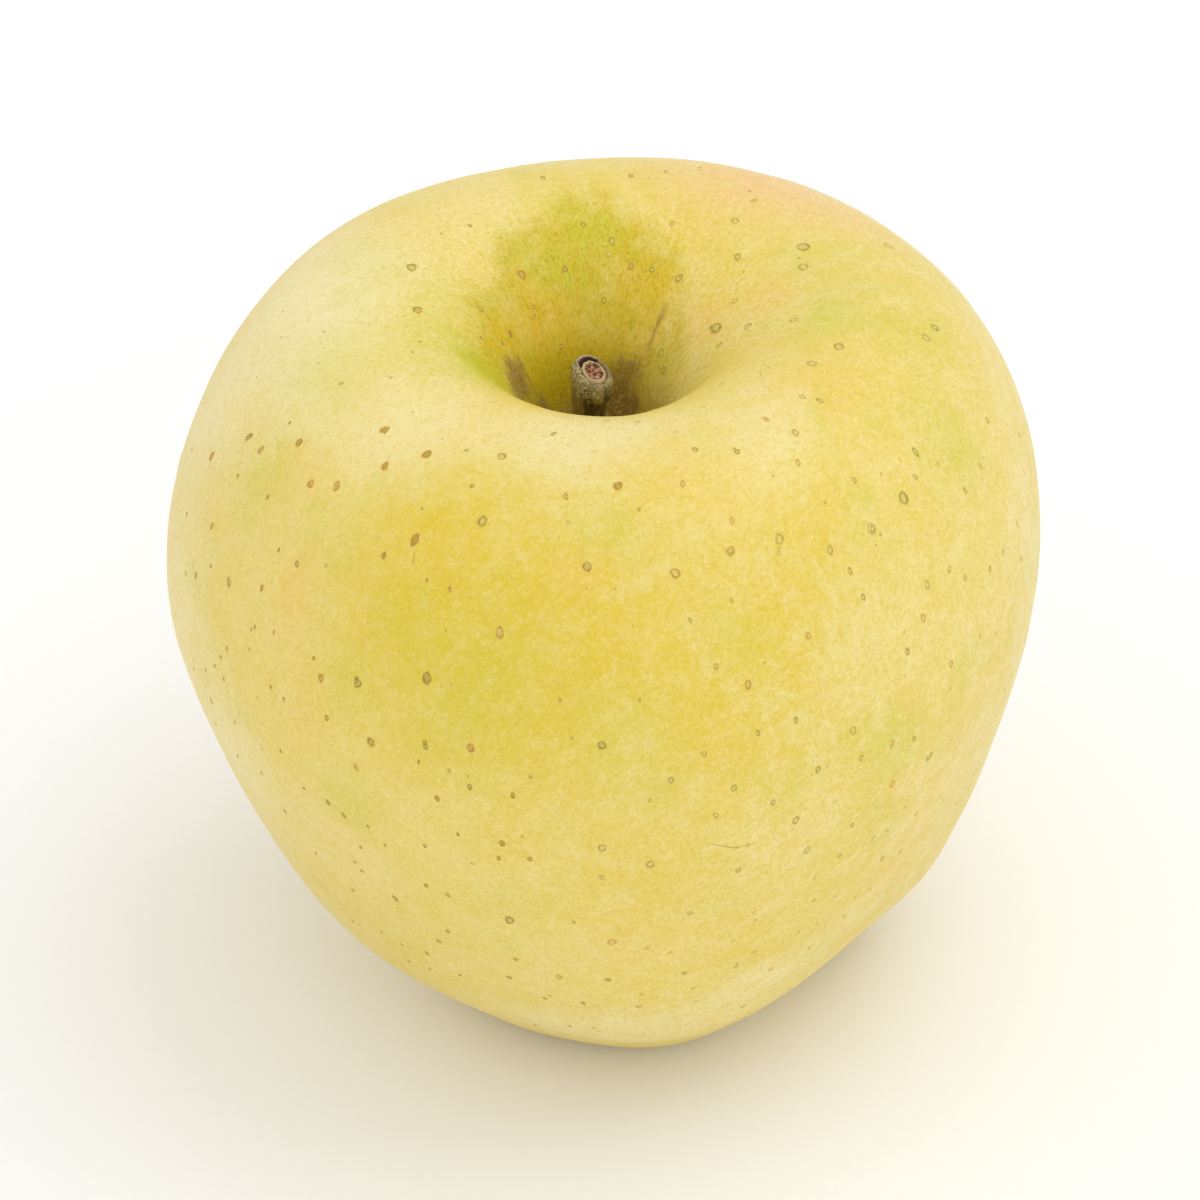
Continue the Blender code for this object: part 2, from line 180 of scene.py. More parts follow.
# The smaller pores: size in mm, pixels
SMALL_PORES = (
    (0.78, (
        (261, 450), (249, 437), (299, 443), (212, 456), (337, 486), (311, 484), (229, 582), (385, 466),
        (873, 529), (915, 452), (731, 550), (830, 550), (927, 585), (923, 618), (951, 664), (795, 433),
        (612, 241), (679, 278), (522, 275), (661, 353), (738, 257), (892, 744), (929, 757), (796, 820),
        (807, 850), (371, 742), (502, 843), (395, 898), (853, 731), (748, 684), (892, 784), (559, 977),
    )),
    (0.58, (
        (212, 526), (196, 575), (297, 564), (262, 588), (384, 556), (357, 680), (426, 746), (327, 718),
        (356, 767), (470, 787), (437, 798), (513, 795), (671, 780), (704, 754), (734, 788), (716, 815),
        (602, 877), (738, 870), (530, 859), (499, 858), (448, 895), (426, 885), (690, 913), (684, 973),
        (509, 977), (516, 959), (448, 931), (439, 941), (427, 953), (285, 811), (328, 802), (344, 815),
        (737, 452), (798, 463), (915, 477), (965, 578), (990, 569), (949, 569), (850, 571), (863, 597),
        (907, 652), (808, 635), (716, 666), (796, 720), (758, 733), (861, 758), (914, 739), (916, 813),
        (773, 802), (873, 838), (900, 851), (882, 858), (839, 856), (754, 201), (672, 224), (583, 225),
        (609, 254), (652, 270), (631, 266), (604, 300), (565, 269), (510, 334), (480, 309), (664, 370),
        (735, 301), (802, 397), (820, 401), (766, 419), (695, 450), (683, 484), (566, 496), (554, 434),
        (638, 422), (607, 421), (720, 345), (722, 384), (543, 178), (666, 172), (631, 176), (583, 1003),
        (639, 1006), (608, 979), (743, 1006), (771, 969), (736, 966), (854, 480), (1017, 524), (732, 521),
        (818, 769), (852, 825), (369, 741), (425, 743), (987, 420), (965, 491), (980, 466), (1003, 552),
    )),
    (0.40, (
        (290, 423), (192, 450), (187, 514), (211, 566), (279, 550), (268, 497), (238, 476), (255, 627),
        (274, 632), (314, 658), (271, 687), (284, 699), (235, 722), (211, 698), (227, 649), (221, 657),
        (215, 666), (206, 670), (194, 669), (224, 679), (472, 486), (450, 589), (427, 580), (419, 762),
        (531, 777), (425, 846), (574, 922), (647, 948), (670, 952), (693, 988), (737, 964), (755, 920),
        (430, 969), (460, 975), (545, 998), (535, 1025), (570, 1026), (755, 952), (368, 826), (304, 788),
        (281, 751), (262, 773), (238, 756), (216, 724), (385, 845), (361, 847), (355, 862), (362, 871),
        (316, 853), (353, 890), (353, 921), (382, 932), (402, 944), (409, 961), (458, 834), (212, 702),
        (938, 464), (1019, 435), (1024, 472), (1021, 559), (996, 633), (980, 636), (950, 688), (1004, 689),
        (905, 807), (943, 801), (956, 803), (887, 831), (748, 845), (814, 878), (814, 900), (835, 896),
        (855, 897), (877, 895), (870, 889), (754, 912), (844, 916), (817, 923), (799, 931), (809, 948),
        (753, 952), (733, 941), (571, 200), (532, 307), (502, 343), (481, 338), (534, 315), (561, 346),
        (470, 226), (766, 420), (735, 450), (731, 600), (690, 620), (640, 700), (560, 700), (650, 800),
    )),
)

# The skin's finish, and how its patches' edges wander: waves to the metre, reach
SKIN_ROUGHNESS = 0.42
SKIN_GLOSS = 0.34
WAX_ROUGHNESS = 0.35
EDGE_WANDER = ((130.0, 0.0016), (420.0, 0.0007))

# The shape of one pore, and the pores that are scattered over the sides which the photograph doesn't show
PORE_SIDES = 12
PORE_FRINGE = 1.75
PORE_BASE_MM = 0.008
PORE_RISE_MM = 0.030
PORE_DIP_MM = -0.050
SCATTERED_PORES = 290
PORE_GAP = 0.0032
BARE_CORE = 0.007
BARE_BELOW = 0.009
SCATTER_SEED = 41

# The seed of the wandering of the patches' edges; without one, Blender takes it from the clock
WANDER_SEED = 1

# The basin's folds: their outer reach and depth
PUCKER_REACH = 0.013
PUCKER_DEPTH = 0.00017

# The stalk's cut end: its rise to the right and to the back, and the side on which the rim stands up
CUT_SLOPE = (-0.40, 0.35)
RIM_STANDS_UP = Vector((-0.53, 0.85, 0.0))

# The stalk's rings, from the foot up and over the cut end: height below the cut, radius, and how far
# the middle lies to the right of the cut's, all in mm
STALK_RINGS = (
    (11.30, 2.35, 0.58), (10.80, 2.05, 0.50), (10.00, 1.72, 0.34), (8.80, 1.52, 0.00),
    (7.40, 1.42, -0.34), (6.00, 1.38, -0.48), (5.00, 1.42, -0.48), (4.20, 1.51, -0.38),
    (3.50, 1.61, -0.28), (2.80, 1.72, -0.18), (2.20, 1.81, -0.09), (1.60, 1.87, -0.03),
    (1.10, 1.90, 0.00), (0.65, 1.86, 0.00), (0.30, 1.74, 0.02), (0.08, 1.53, 0.05),
    (-0.02, 1.38, 0.08), (0.06, 1.25, 0.12), (0.20, 1.16, 0.12), (0.10, 1.09, 0.12),
    (-0.03, 1.01, 0.12), (0.00, 0.90, 0.12), (0.06, 0.80, 0.12), (0.24, 0.72, 0.12),
    (0.30, 0.50, 0.12), (0.27, 0.22, 0.12),
)
STALK_FACES = 28

# The dried flower end
SEPALS = 5
SEPAL_THICKNESS = 0.00024
STAMENS = 14

# Light: the white surroundings, and each soft light's name, place, size and power
SURROUNDINGS_STRENGTH = 0.90
LIT_POINT = Vector((0.0, 0.0, 0.04))
SOFT_LIGHTS = (
    ("upper_right_light", (0.40, 0.10, 0.90), 0.8, 2.2),
    ("front_fill", (0.30, -0.9, 0.40), 0.9, 1.2),
    ("left_fill", (-0.8, 0.1, 0.5), 0.8, 0.4),
)

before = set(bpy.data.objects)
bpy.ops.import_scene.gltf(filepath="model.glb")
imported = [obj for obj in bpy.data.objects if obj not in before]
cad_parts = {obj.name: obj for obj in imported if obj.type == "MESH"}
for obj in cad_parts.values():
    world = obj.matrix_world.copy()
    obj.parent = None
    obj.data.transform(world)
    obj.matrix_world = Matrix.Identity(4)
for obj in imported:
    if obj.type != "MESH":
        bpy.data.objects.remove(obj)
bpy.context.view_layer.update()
bpy.ops.object.select_all(action="DESELECT")
noise.seed_set(WANDER_SEED)


def ease(start, end, value):
    """Go from 0 at start to 1 at end, with both ends level."""
    share = min(max((value - start) / (end - start), 0.0), 1.0)
    return share * share * (3.0 - 2.0 * share)


def add_object(name, data):
    """Put new data into the scene as an object of its own."""
    made = bpy.data.objects.new(name, data)
    bpy.context.scene.collection.objects.link(made)
    return made


def camera_axes():
    """Return the camera's right, up and backward directions."""
    level = Vector((1.0, 0.0, 0.0))
    steep = Vector((0.0, math.sin(CAMERA_RISE), math.cos(CAMERA_RISE)))
    right = level * math.cos(CAMERA_ROLL) + steep * math.sin(CAMERA_ROLL)
    up = steep * math.cos(CAMERA_ROLL) - level * math.sin(CAMERA_ROLL)
    return right, up, right.cross(up)


def set_camera():
    """Place the camera where the photograph was taken from."""
    right, up, back = camera_axes()
    data = bpy.data.cameras.new("photo_camera")
    data.lens = LENS_MM
    data.sensor_width = SENSOR_MM
    camera = add_object("photo_camera", data)
    turned = Matrix((right, up, back)).transposed().to_4x4()
    camera.matrix_world = Matrix.Translation(CAMERA_AIM + back * CAMERA_DISTANCE) @ turned
    bpy.context.scene.camera = camera


def centre_of(node, lowest, highest):
    """Return the middle of a CAD node's vertices between two heights."""
    inside = [v.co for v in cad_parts[node].data.vertices if lowest <= v.co.z <= highest]
    return sum(inside, Vector()) / len(inside)


stalk_low, stalk_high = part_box("stalk")
calyx_low, calyx_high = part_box("calyx")
STALK_FOOT = centre_of("stalk", stalk_low.z, stalk_low.z + 0.5 * MM)
STALK_TIP = centre_of("stalk", stalk_high.z - 2.6 * MM, stalk_high.z)
CALYX_TOP = centre_of("calyx", calyx_high.z - 0.3 * MM, calyx_high.z)
CORE = Vector((STALK_FOOT.x, STALK_FOOT.y, 0.0))
BASIN_CORE = Vector((CALYX_TOP.x, CALYX_TOP.y, 0.0))


class Shading:
    """A node tree with short ways to add the nodes that the apple's materials need."""

    def __init__(self, tree):
        self.tree = tree

    def feed(self, socket, value):
        """Link a socket into another one, or set its value."""
        if isinstance(value, bpy.types.NodeSocket):
            self.tree.links.new(value, socket)
        elif socket.type == "RGBA" and len(value) == 3:
            socket.default_value = (*value, 1.0)
        else:
            socket.default_value = value

    def add(self, kind, sockets=(), **settings):
        """Add a node, with its settings and what goes into its sockets."""
        made = self.tree.nodes.new(kind)
        for name, value in settings.items():
            setattr(made, name, value)
        for key, value in dict(sockets).items():
            self.feed(made.inputs[key], value)
        return made

    def math(self, operation, first, second=0.0, clamp=False):
        """Work out one number from two."""
        sockets = {0: first, 1: second}
        return self.add("ShaderNodeMath", sockets, operation=operation, use_clamp=clamp).outputs[0]

    def times(self, first, second, clamp=False):
        """Multiply two numbers."""
        return self.math("MULTIPLY", first, second, clamp)

    def plus(self, first, second):
        """Add two numbers."""
        return self.math("ADD", first, second)

    def minus(self, first, second):
        """Take the second number from the first."""
        return self.math("SUBTRACT", first, second)

    def most(self, first, second):
        """Keep the larger of two numbers."""
        return self.math("MAXIMUM", first, second)

    def vector(self, operation, first, second=(0.0, 0.0, 0.0)):
        """Work out one vector from two."""
        return self.add("ShaderNodeVectorMath", {0: first, 1: second}, operation=operation).outputs[0]

    def scaled(self, vector, size):
        """Scale a vector."""
        return self.add("ShaderNodeVectorMath", {0: vector, "Scale": size}, operation="SCALE").outputs[0]

    def band(self, value, low, high, start=0.0, end=1.0):
        """Go smoothly from start to end while the value goes from low to high."""
        sockets = {0: value, 1: low, 2: high, 3: start, 4: end}
        return self.add("ShaderNodeMapRange", sockets, interpolation_type="SMOOTHSTEP").outputs[0]

    def noise(self, vector, scale, detail=2.0, roughness=0.5, distortion=0.0, colour=False):
        """Add a noise pattern."""
        sockets = {
            "Vector": vector,
            "Scale": scale,
            "Detail": detail,
            "Roughness": roughness,
            "Distortion": distortion,
        }
        return self.add("ShaderNodeTexNoise", sockets).outputs[1 if colour else 0]

    def mix(self, share, first, second):
        """Mix two colours."""
        return self.add("ShaderNodeMix", {0: share, 6: first, 7: second}, data_type="RGBA").outputs[2]

    def blend(self, share, first, second):
        """Mix two numbers."""
        return self.add("ShaderNodeMix", {0: share, 2: first, 3: second}).outputs[0]

    def group(self, group, sockets):
        """Add a node group."""
        return self.add("ShaderNodeGroup", sockets, node_tree=group).outputs

    def relief(self, shader, height, strength, depth):
        """Give a shader's surface a fine relief, with its depth in metres."""
        bump = self.add("ShaderNodeBump", {"Height": height, "Strength": strength, "Distance": depth})
        self.feed(shader.inputs["Normal"], bump.outputs[0])

    def position(self):
        """Return the place on the piece, in metres."""
        return self.add("ShaderNodeTexCoord").outputs["Object"]

    def mark(self, name):
        """Return what is noted on the piece's vertices under a name, or 0 where nothing is."""
        return self.add("ShaderNodeAttribute", attribute_name=name).outputs["Fac"]


def new_group(name, inputs, outputs):
    """Start a node group and return it with its shading, its input sockets and its output sockets."""
    group = bpy.data.node_groups.new(name, "ShaderNodeTree")
    for label, value in inputs.items():
        kind = "NodeSocketFloat" if isinstance(value, float) else "NodeSocketVector"
        socket = group.interface.new_socket(name=label, in_out="INPUT", socket_type=kind)
        socket.default_value = value
    for label in outputs:
        group.interface.new_socket(name=label, in_out="OUTPUT", socket_type="NodeSocketFloat")
    shading = Shading(group)
    start = group.nodes.new("NodeGroupInput")
    end = group.nodes.new("NodeGroupOutput")
    return group, shading, start.outputs, end.inputs


def make_round_core():
    """Distance from an upright axis, and a pattern that runs in streaks away from it."""
    inputs = {"Position": (0.0, 0.0, 0.0), "Core": (0.0, 0.0, 0.0), "Streaks": 22.0, "Stretch": 60.0}
    group, s, start, end = new_group("round_core", inputs, ["Distance", "Streak"])
    away = s.vector("SUBTRACT", start["Position"], start["Core"])
    flat = s.vector("MULTIPLY", away, (1.0, 1.0, 0.0))
    distance = s.add("ShaderNodeVectorMath", {0: flat}, operation="LENGTH").outputs["Value"]
    climb = s.times(s.add("ShaderNodeSeparateXYZ", {0: away}).outputs["Z"], start["Stretch"])
    turns = s.plus(start["Streaks"], s.times(climb, 0.6))
    direction = s.scaled(s.vector("NORMALIZE", flat), turns)
    along = s.times(distance, start["Stretch"])
    place = s.vector("ADD", direction, s.add("ShaderNodeCombineXYZ", {"Z": along}).outputs[0])
    s.feed(end["Distance"], distance)
    s.feed(end["Streak"], s.noise(place, 1.0, 4.0, 0.6, 0.35))
    return group


def make_pores():
    """Small round pores scattered over the skin: a dark rim round a pale heart."""
    inputs = {"Position": (0.0, 0.0, 0.0), "Spacing": 260.0, "Size": 0.0005, "Keep": 0.7}
    group, s, start, end = new_group("pores", inputs, ["Rim", "Heart"])
    warp = s.vector("SUBTRACT", s.noise(start["Position"], 2400.0, 2.0, 0.6, colour=True), (0.5, 0.5, 0.5))
    place = s.vector("ADD", start["Position"], s.scaled(warp, 0.00026))
    place = s.vector("MULTIPLY", place, (1.0, 1.0, 0.86))
    cells = s.add("ShaderNodeTexVoronoi", {"Vector": place, "Scale": start["Spacing"]})
    draw = s.add("ShaderNodeSeparateColor", {0: cells.outputs["Color"]}).outputs
    distance = s.math("DIVIDE", cells.outputs["Distance"], start["Spacing"])
    share = s.plus(s.times(s.math("POWER", draw[1], 1.6), 0.68), 0.32)
    size = s.times(start["Size"], share)
    ratio = s.math("DIVIDE", distance, size)
    kept = s.math("LESS_THAN", draw[0], start["Keep"])
    inside = s.times(s.band(ratio, 0.82, 1.08, 1.0, 0.0), kept)
    hollow = s.times(s.band(ratio, 0.52, 0.78, 1.0, 0.0), s.band(draw[2], 0.30, 0.55, 1.0, 0.15))
    s.feed(end["Rim"], s.times(inside, s.minus(1.0, hollow)))
    s.feed(end["Heart"], s.times(inside, hollow))
    return group


def make_dry_grain():
    """Fine, dry unevenness of cork, bark and withered leaf."""
    inputs = {"Position": (0.0, 0.0, 0.0), "Grain": 2200.0, "Lengthways": 0.25}
    group, s, start, end = new_group("dry_grain", inputs, ["Broad", "Fine"])
    squeeze = s.add("ShaderNodeCombineXYZ", {"X": 1.0, "Y": 1.0, "Z": start["Lengthways"]}).outputs[0]
    place = s.vector("MULTIPLY", start["Position"], squeeze)
    s.feed(end["Broad"], s.noise(place, s.times(start["Grain"], 0.35), 3.0, 0.6, 0.3))
    s.feed(end["Fine"], s.noise(place, s.times(start["Grain"], 1.6), 4.0, 0.7))
    return group


ROUND_CORE = make_round_core()
PORES = make_pores()
DRY_GRAIN = make_dry_grain()


def new_material(name, roughness, specular):
    """Start a material and return it with its shading and its Principled shader."""
    material = bpy.data.materials.new(name)
    material.use_nodes = True
    shader = material.node_tree.nodes["Principled BSDF"]
    shader.inputs["Roughness"].default_value = roughness
    shader.inputs["Specular IOR Level"].default_value = specular
    return material, Shading(material.node_tree), shader


def skin_at(tree, pixel):
    """Return the place on the skin that shows at a pixel of the photograph, and its facing there."""
    right, up, back = camera_axes()
    across = (pixel[0] / PHOTO_SIDE - 0.5) * SENSOR_MM / LENS_MM
    rise = (0.5 - pixel[1] / PHOTO_SIDE) * SENSOR_MM / LENS_MM
    place = None
    while place is None:
        sight = (right * across + up * rise - back).normalized()
        place, normal, _, _ = tree.ray_cast(CAMERA_AIM + back * CAMERA_DISTANCE, sight)
        across *= 0.99
        rise *= 0.99
    return place, normal


def note_values(mesh, name, values):
    """Note a number on each vertex under a name."""
    mesh.attributes.new(name, "FLOAT", "POINT").data.foreach_set("value", values)


def lay_patches(piece, tree):
    """Note on each vertex how much of each patchy colour it has, with wandering edges."""
    mesh = piece.data
    points = [vertex.co for vertex in mesh.vertices]
    places = np.array([tuple(point) for point in points])
    wander = np.zeros_like(places)
    for waves, reach in EDGE_WANDER:
        wander += np.array([tuple(noise.noise_vector(point * waves) * reach) for point in points])
    for name, patches in SKIN_PATCHES.items():
        clear = np.ones(len(points))
        for column, row, across, high, strength in patches:
            centre = np.array(tuple(skin_at(tree, (column, row))[0]))
            away = (places + wander - centre) / (np.array((across, across, high)) * MM)
            closeness = np.clip((1.15 - np.linalg.norm(away, axis=1)) / 1.05, 0.0, 1.0)
            clear *= 1.0 - strength * closeness * closeness * (3.0 - 2.0 * closeness)
        note_values(mesh, name, 1.0 - clear)


def make_skin_material():
    """Waxy yellow skin: fine mottling, green hollows, a blush, a russet throat, pores and rubbed marks,
    with painted highlight and reflection on pale patches and painted shade in the cavity.
    """
    material, s, shader = new_material("apple_skin", SKIN_ROUGHNESS, SKIN_GLOSS)
    position = s.position()
    apart = s.add("ShaderNodeSeparateXYZ", {0: position}).outputs
    height, side = apart["Z"], apart["X"]

    def streaks(core, number, stretch):
        sockets = {"Position": position, "Core": core, "Streaks": number, "Stretch": stretch}
        return s.group(ROUND_CORE, sockets)

    core = streaks(STALK_FOOT, 8.0, 230.0)
    basin = streaks(CALYX_TOP, 7.0, 110.0)
    to_core, streak = core["Distance"], core["Streak"]
    is_top = s.band(height, 0.045, 0.055)
    is_shoulder = s.band(height, 0.046, 0.064)
    is_under = s.band(height, 0.016, 0.006)

    # Mottling over the ground colour, and pale patches that are partly cream skin and partly painted
    # highlight and reflection
    cloud = s.noise(position, 75.0, 4.0, 0.6)
    marble = s.noise(position, 380.0, 5.0, 0.68, 0.7)
    crinkle = s.noise(position, 2300.0, 3.0, 0.66, 1.1)
    by_core = s.times(s.band(to_core, 0.028, 0.013, 0.0, 0.75), is_top)
    crinkle = s.blend(by_core, crinkle, streaks(STALK_FOOT, 26.0, 2500.0)["Streak"])
    broken = s.band(marble, 0.30, 0.70, 0.66, 1.28)
    streaky = s.blend(s.times(is_shoulder, 0.35), marble, streak)
    colour = s.mix(s.band(cloud, 0.36, 0.70, 0.0, 0.75), GROUND_YELLOW, MID_YELLOW)
    # Pale patches: partly cream skin, partly painted highlight, reflection and light
    colour = s.mix(s.mark("pale"), colour, PALE_YELLOW_AND_SHEEN)
    colour = s.mix(s.times(s.mark("deep"), broken, clamp=True), colour, DEEP_YELLOW)
    mottled_side = s.band(side, -0.022, 0.020, 0.10, 0.25)
    colour = s.mix(s.times(s.band(streaky, 0.46, 0.66), mottled_side), colour, DEEP_YELLOW)
    colour = s.mix(s.times(s.band(streaky, 0.52, 0.34), mottled_side), colour, PALE_YELLOW_AND_SHEEN)

    # Orange, green and blushed patches
    flecks = s.band(s.noise(position, 310.0, 5.0, 0.7), 0.58, 0.74, 0.0, 0.34)
    orange = s.most(s.mark("orange"), s.times(flecks, s.band(side, -0.004, 0.016)))
    scattered_green = s.band(s.noise(position, 120.0, 4.0, 0.6), 0.54, 0.74, 0.0, 0.30)
    green = s.most(s.mark("green"), scattered_green)
    for amount, tint in ((orange, SUN_ORANGE), (green, LEAF_GREEN), (s.mark("blush"), BLUSH)):
        colour = s.mix(s.times(amount, broken, clamp=True), colour, tint)

    # The cavity's green and golden throat, weaker on its right wall as painted light and darker toward its
    # floor as painted shade, and the green of the basin
    # The hollow's colours fade on the cavity's right wall, which paints that wall lighter: painted light
    hollow_with_lit_wall = s.times(s.band(side, 0.0075, 0.0015, 0.12, 1.0), is_top)
    low_in = s.times(s.band(to_core, 0.0106, 0.0068), hollow_with_lit_wall)
    # Darker toward the cavity's floor: painted shade, with the floor's russet speckle
    deep_shade = s.times(s.band(to_core, 0.0086, 0.0040), hollow_with_lit_wall)
    near_wall = s.times(s.band(to_core, 0.0130, 0.0085, 0.0, 0.95), is_top)
    near_wall = s.times(near_wall, s.band(apart["Y"], 0.001, -0.004))
    throat_mark = s.most(s.mark("throat"), near_wall)
    frayed = s.minus(s.plus(streak, s.times(marble, 0.5)), 0.75)
    throat = s.band(s.plus(throat_mark, s.times(frayed, 0.7)), 0.10, 1.06)
    throat = s.times(throat, s.band(marble, 0.30, 0.60, 0.66, 1.0))
    throat = s.most(s.times(throat, s.band(throat_mark, 0.0, 0.35)), low_in)
    throat_colour = s.mix(s.band(streak, 0.34, 0.66), THROAT_GREEN, THROAT_GOLD)
    throat_colour = s.mix(s.mark("orange"), throat_colour, THROAT_GLOW)
    throat_colour = s.mix(s.mark("green"), throat_colour, THROAT_LEAF)
    # Darker gold toward the floor: painted shade
    colour = s.mix(throat, colour, s.mix(deep_shade, throat_colour, THROAT_SHADE))
    basin_green = s.times(s.band(basin["Distance"], 0.016, 0.004), is_under)
    colour = s.mix(s.times(basin_green, 0.6), colour, LEAF_GREEN)

    # Scaly russet at the foot of the stalk and round the flower end; at the stalk's foot it also stands
    # for painted shade on the cavity's floor
    scales = s.noise(position, 2900.0, 4.0, 0.72)
    wobble = s.plus(s.times(s.minus(streak, 0.5), 1.4), s.times(s.minus(scales, 0.5), 2.2))
    russet = s.band(s.plus(s.mark("russet"), s.times(wobble, 0.60)), 0.26, 0.72)
    russet = s.times(russet, s.band(s.mark("russet"), 0.02, 0.20))
    foot = s.plus(to_core, s.times(wobble, -0.0012))
    # This band at the stalk's foot is russet and also painted shade on the cavity's floor
    russet = s.most(russet, s.times(s.band(foot, 0.0060, 0.0040), is_top))
    basin_foot = s.plus(basin["Distance"], s.times(s.minus(basin["Streak"], 0.5), 0.006))
    russet = s.most(russet, s.times(s.band(basin_foot, 0.0070, 0.0042, 0.0, 0.85), is_under))
    russet = s.times(russet, s.band(scales, 0.32, 0.52, 0.62, 1.0))
    colour = s.mix(russet, colour, s.mix(s.band(scales, 0.46, 0.60), RUSSET, RUSSET_GREY))

    # The skin's fine crinkles, and the rubbed marks
    lively = s.most(s.band(side, -0.030, 0.020, 0.66, 0.90), s.band(by_core, 0.0, 0.75, 0.7, 1.35))
    in_dark = s.times(s.band(crinkle, 0.47, 0.67, 0.0, 0.54), lively)
    in_pale = s.times(s.band(crinkle, 0.51, 0.31, 0.0, 0.38), lively)
    # Dark crinkles turn russet toward the cavity's floor, partly painted shade
    colour = s.mix(in_dark, colour, s.mix(deep_shade, s.mix(throat, CRINKLE_DARK, THROAT_SPECK), RUSSET))
    in_pale = s.times(in_pale, s.band(throat, 0.0, 1.0, 1.0, 0.30))
    colour = s.mix(s.times(in_pale, s.band(low_in, 0.0, 1.0, 1.0, 0.2)), colour, CRINKLE_PALE)
    scratch = s.times(s.mark("scratch"), s.band(scales, 0.30, 0.52, 0.25, 1.1), clamp=True)
    colour = s.mix(scratch, colour, SCRATCH_BROWN)

    # The finest pores, and on skin_marks the larger ones: ring goes from 0 in the middle to 1 at the edge
    pores = s.group(PORES, {"Position": position, "Spacing": 470.0, "Size": 0.00026, "Keep": 0.60})
    colour = s.mix(s.times(pores["Rim"], 0.50), colour, PORE_RIM)
    colour = s.mix(s.times(pores["Heart"], 0.30), colour, PORE_HEART)
    here, tone, hue = s.mark("pore"), s.mark("tone"), s.mark("halo")
    ragged = s.minus(s.noise(position, 2900.0, 4.0, 0.7), 0.5)
    ring = s.plus(s.mark("ring"), s.times(ragged, 0.55))
    fringe = s.times(s.band(ring, 0.95, 0.42), here)
    colour = s.mix(s.times(fringe, s.times(hue, 0.42, clamp=True)), colour, LEAF_GREEN)
    colour = s.mix(s.times(fringe, s.times(hue, -0.55, clamp=True)), colour, SUN_ORANGE)
    inside = s.times(s.band(ring, 0.66, 0.46), here)
    heart = s.mix(s.band(s.plus(tone, ragged), 0.30, 1.05), PORE_HEART, PORE_BROWN)
    rim_colour = s.mix(s.band(hue, -0.3, 0.3), PORE_BROWN_RIM, PORE_RIM)
    rim = s.times(s.band(ring, 0.24, 0.44), s.band(ragged, -0.14, 0.04, 0.40, 1.0))
    strength = s.times(inside, s.band(tone, 0.0, 0.8, 0.60, 0.95))
    colour = s.mix(strength, colour, s.mix(rim, heart, rim_colour))

    # Colour, wax and relief
    s.feed(shader.inputs["Base Color"], colour)
    dull = s.most(russet, s.most(s.times(pores["Rim"], 0.6), inside))
    worn = s.band(marble, 0.35, 0.65, SKIN_ROUGHNESS - 0.03, SKIN_ROUGHNESS + 0.07)
    s.feed(shader.inputs["Roughness"], s.plus(worn, s.times(dull, 0.38)))
    rough_in = s.times(s.band(to_core, 0.0085, 0.0045, 0.5, 3.0), scales)
    s.relief(shader, s.plus(s.times(crinkle, 0.8), rough_in), 0.5, 0.00009)
    s.feed(shader.inputs["Coat Weight"], s.band(throat, 0.0, 1.0, 0.14, 0.0))
    shader.inputs["Coat Roughness"].default_value = WAX_ROUGHNESS
    return material


def make_bark_material():
    """Bark of the stalk: dark olive brown low down, pale and scaly round the knob, torn at the rim, with
    painted shade in the groove at the cut.
    """
    material, s, shader = new_material("stalk_bark", 0.86, 0.25)
    position = s.position()
    grain = s.group(DRY_GRAIN, {"Position": position, "Grain": 3000.0, "Lengthways": 0.16})
    scales = s.group(DRY_GRAIN, {"Position": position, "Grain": 3600.0, "Lengthways": 0.8})
    colour = s.mix(s.band(grain["Broad"], 0.38, 0.64), BARK_DARK, BARK_LIGHT)
    colour = s.mix(s.band(grain["Fine"], 0.46, 0.70, 0.0, 0.55), colour, BARK_LIGHT)
    collar = s.times(s.mark("collar"), s.band(scales["Fine"], 0.42, 0.58))
    colour = s.mix(collar, colour, BARK_LICHEN)
    torn = s.times(s.mark("torn"), s.band(scales["Fine"], 0.30, 0.50))
    colour = s.mix(torn, colour, BARK_TORN)
    # Painted shade in the groove round the cut end
    colour = s.mix(s.mark("groove"), colour, GROOVE_SHADE)
    s.feed(shader.inputs["Base Color"], colour)
    s.relief(shader, s.plus(grain["Broad"], s.times(scales["Fine"], 0.8)), 0.8, 0.00022)
    return material


def make_wood_material():
    """The stalk's cut end: a thin pale ring of wood round a crumbled brown pith, with painted shade at the
    wood's edge.
    """
    material, s, shader = new_material("stalk_wood", 0.8, 0.25)
    position = s.position()
    grain = s.group(DRY_GRAIN, {"Position": position, "Grain": 9000.0, "Lengthways": 1.0})
    ring = s.mark("ring")
    uneven = s.plus(ring, s.times(s.minus(grain["Broad"], 0.5), 0.45))
    pith = s.mix(s.band(grain["Broad"], 0.47, 0.58), PITH_BROWN, PITH_PALE)
    wood = s.mix(s.band(grain["Fine"], 0.34, 0.58), WOOD_BROWN, WOOD_PALE)
    colour = s.mix(s.band(uneven, 0.70, 0.82), pith, wood)
    # A dark band at the wood's edge: painted shade of the groove round it
    colour = s.mix(s.band(ring, 1.00, 1.06), colour, GROOVE_SHADE)
    s.feed(shader.inputs["Base Color"], colour)
    s.relief(shader, grain["Fine"], 0.8, 0.00018)
    return material


def make_sepal_material():
    """Withered brown leaf with grey down."""
    material, s, shader = new_material("dry_sepal", 0.9, 0.2)
    grain = s.group(DRY_GRAIN, {"Position": s.position(), "Grain": 2800.0, "Lengthways": 0.4})
    colour = s.mix(s.band(grain["Broad"], 0.38, 0.64), SEPAL_BROWN, SEPAL_TAN)
    colour = s.mix(s.band(grain["Fine"], 0.50, 0.68, 0.0, 0.7), colour, SEPAL_GREY)
    s.feed(shader.inputs["Base Color"], colour)
    s.relief(shader, grain["Fine"], 0.8, 0.0002)
    return material


